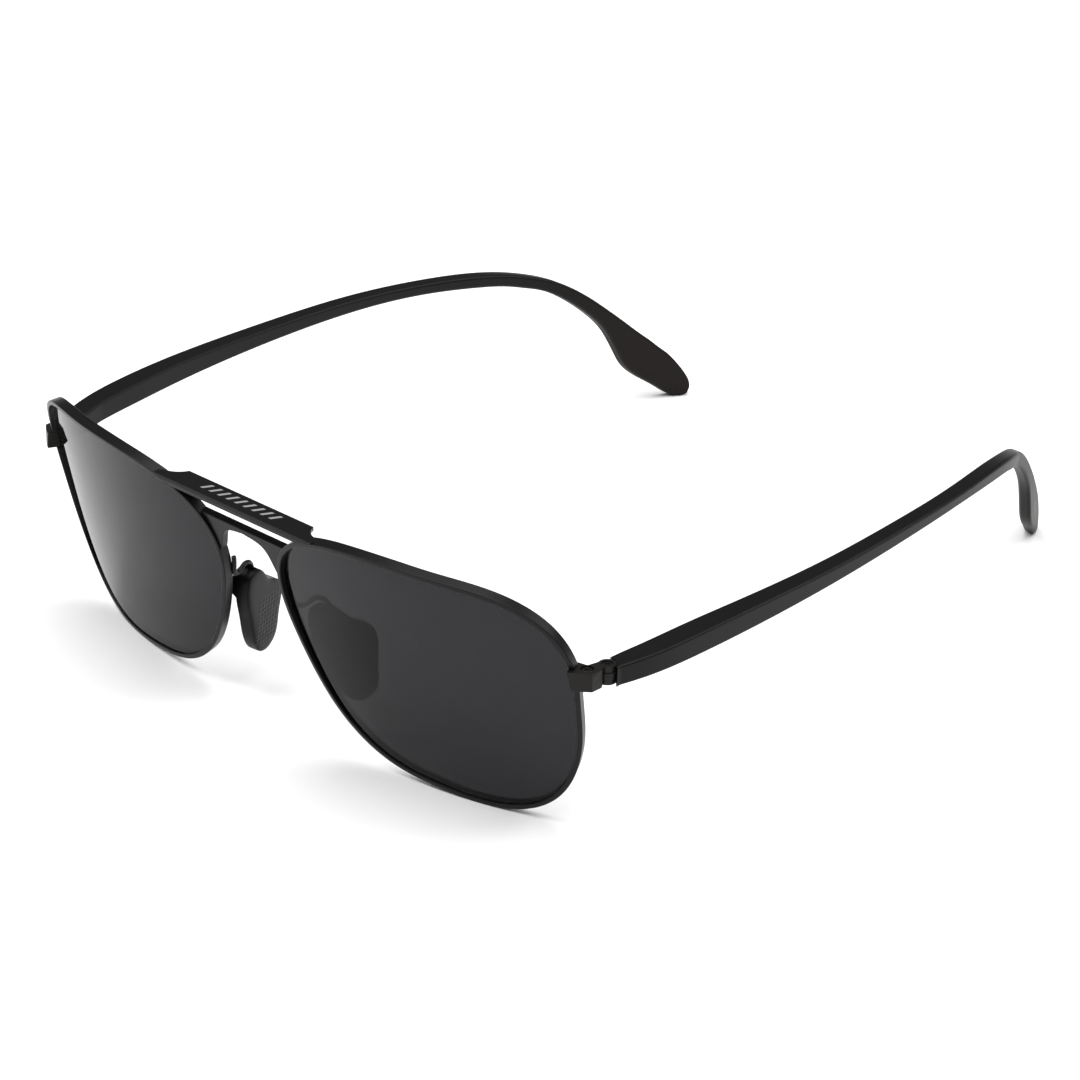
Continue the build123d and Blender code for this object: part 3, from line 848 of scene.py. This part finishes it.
@dataclass
class BarMarking:
    """A plain laser-marked band of slanted strokes on the brow bar's top."""

    height: float = 44.7
    middle_y: float = -81.0
    strokes: int = 9
    pitch: float = 2.1
    stroke: tuple[float, float] = (0.7, 1.9)
    lean: float = 0.5
    lift: float = 0.012

    def build(self, shop: Workshop) -> None:
        """Lay thin slanted strokes side by side along the bar."""
        centres = (np.arange(self.strokes) - (self.strokes - 1) / 2) * self.pitch
        wide, long = self.stroke
        points, faces = [], []
        for number, x in enumerate(centres):
            for z in (self.height - 0.05, self.height + self.lift):
                points += [(x - wide / 2 - self.lean, self.middle_y - long / 2, z),
                           (x + wide / 2 - self.lean, self.middle_y - long / 2, z),
                           (x + wide / 2 + self.lean, self.middle_y + long / 2, z),
                           (x - wide / 2 + self.lean, self.middle_y + long / 2, z)]
            low = 8 * number
            faces += [[low + 4, low + 5, low + 6, low + 7], [low + 3, low + 2, low + 1, low]]
            faces += [[low + i, low + (i + 1) % 4, low + 4 + (i + 1) % 4, low + 4 + i]
                      for i in range(4)]
        shop.piece("bar_marking", np.array(points), faces, LASER_MARK.material(), "front",
                   "bar_metal", flat=True)


@dataclass
class Hardware:
    """The small metal and plastic pieces that keep their CAD shape."""

    plans: tuple = (
        ("endpiece", HINGE_COAT, "front", "hinge_metal", 0.12),
        ("rim_lock", HINGE_COAT, "front", "hinge_metal", 0.06),
        ("rim_lock_screw", SCREW_OXIDE, "front", "screw_metal", 0.04),
        ("hinge_screw", SCREW_OXIDE, "front", "screw_metal", 0.04),
        ("pad_arm", FRAME_COAT, "front", "wire_metal", 0.1),
        ("pad_screw", SCREW_OXIDE, "front", "screw_metal", 0.04),
        ("temple_hinge", HINGE_COAT, "temple", "hinge_metal", 0.08),
        ("temple_core", CORE_STEEL, "temple", "core_steel", 0.03),
        ("tip_badge", BADGE_PANEL, "temple", "badge", 0.05),
        ("pad_carrier", CARRIER_NYLON, "pad", "pad_plastic", 0.06),
    )
    spans: tuple = (("brow_bar", "bar_metal", 0.14), ("lower_bridge", "frame_metal", 0.14))

    def build(self, shop: Workshop) -> None:
        """Refine each node of both sides and the two pieces between the rims."""
        for side in Side:
            for stem, finish, body, slot, bevel in self.plans:
                home = body if body == "front" else f"{body}_{side.word}"
                shop.refined(f"{stem}_{side.word}", finish.material(), home, bevel)
        for node, slot, bevel in self.spans:
            shop.refined(node, FRAME_COAT.material(), "front", bevel)


@dataclass
class Studio:
    """Pale floor, soft light and the camera."""

    target: tuple[float, float, float] = (52.9, -65.0, 50.6)
    azimuth: float = 43.09
    elevation: float = 26.05
    roll: float = 0.99
    distance: float = 550.0
    lens: float = 115.67
    floor_half: float = 3000.0
    floor_colour: str = "#fbfbfb"
    sky_colour: str = "#f2f2f5"
    sky_strength: float = 0.14
    lights: tuple = (
        # name, direction to the light (azimuth, elevation), distance mm, size mm, watts
        ("overhead", (0.0, 84.0), 1700.0, 2400.0, 53.0),
        ("left_wall", (-56.0, 39.0), 1300.0, 500.0, 5.0),
        ("back_edge", (146.0, 37.0), 1300.0, 800.0, 6.0),
    )

    def build(self) -> None:
        """Set up the floor, the world, the lights and the camera."""
        self.lay_floor()
        # the plain display curve keeps the floor white and the blacks black
        bpy.context.scene.view_settings.view_transform = "Standard"
        world = bpy.data.worlds.new("pale_room")
        bpy.context.scene.world = world
        world.use_nodes = True
        sky = world.node_tree.nodes["Background"]
        sky.inputs["Color"].default_value = srgb(self.sky_colour)
        sky.inputs["Strength"].default_value = self.sky_strength
        for name, (azimuth, elevation), away, size, watts in self.lights:
            lamp = bpy.data.lights.new(name, "AREA")
            lamp.energy, lamp.size = watts, size * MM
            holder = bpy.data.objects.new(name, lamp)
            aim = self.direction(azimuth, elevation)
            holder.location = Vector(self.target) * MM + aim * away * MM
            holder.rotation_euler = aim.to_track_quat("Z", "Y").to_euler()
            bpy.context.scene.collection.objects.link(holder)
        self.set_camera()

    @staticmethod
    def direction(azimuth: float, elevation: float) -> Vector:
        """Return the unit vector toward a place on the sky; azimuth 0 is -Y, 90 is +X."""
        a, e = math.radians(azimuth), math.radians(elevation)
        return Vector((math.sin(a) * math.cos(e), -math.cos(a) * math.cos(e), math.sin(e)))

    def lay_floor(self) -> None:
        """Lay the plain pale floor under the glasses."""
        half = self.floor_half * MM
        mesh = bpy.data.meshes.new("floor")
        mesh.from_pydata([(-half, -half, 0), (half, -half, 0), (half, half, 0), (-half, half, 0)],
                         [], [(0, 1, 2, 3)])
        floor = bpy.data.objects.new("floor", mesh)
        bpy.context.scene.collection.objects.link(floor)
        paint = bpy.data.materials.new("pale_floor")
        paint.use_nodes = True
        shader = paint.node_tree.nodes["Principled BSDF"]
        shader.inputs["Base Color"].default_value = srgb(self.floor_colour)
        shader.inputs["Roughness"].default_value = 0.9
        shader.inputs["Specular IOR Level"].default_value = 0.1
        mesh.materials.append(paint)

    def set_camera(self) -> None:
        """Stand the camera off the target along its azimuth and elevation, then roll it."""
        back = self.direction(self.azimuth, self.elevation)
        azimuth = math.radians(self.azimuth)
        right = Vector((math.cos(azimuth), math.sin(azimuth), 0))
        up = back.cross(right)
        turn = math.radians(self.roll)
        across = math.cos(turn) * right + math.sin(turn) * up
        rise = math.cos(turn) * up - math.sin(turn) * right
        data = bpy.data.cameras.new("camera")
        data.lens, data.sensor_width, data.clip_start = self.lens, 36.0, 0.01
        camera = bpy.data.objects.new("camera", data)
        rotation = Matrix((across, rise, back)).transposed()
        camera.matrix_world = Matrix.Translation(
            Vector(self.target) * MM + back * self.distance * MM) @ rotation.to_4x4()
        bpy.context.scene.collection.objects.link(camera)
        bpy.context.scene.camera = camera


def main() -> None:
    """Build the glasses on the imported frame, then the studio."""
    logging.basicConfig(level=logging.INFO, format="%(message)s")
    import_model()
    shop = Workshop()
    front = BentFront()
    tinted = TintedLens().material()
    for side in Side:
        eye = Eye(front, side)
        eye.build_rim(shop)
        eye.build_lens(shop, tinted)
        Temple(side).build(shop)
        NosePad(side).build(shop)
    Hardware().build(shop)
    BarMarking().build(shop)
    Studio().build()
    log.info("%d pieces", shop.count)


if __name__ == "__main__":
    main()
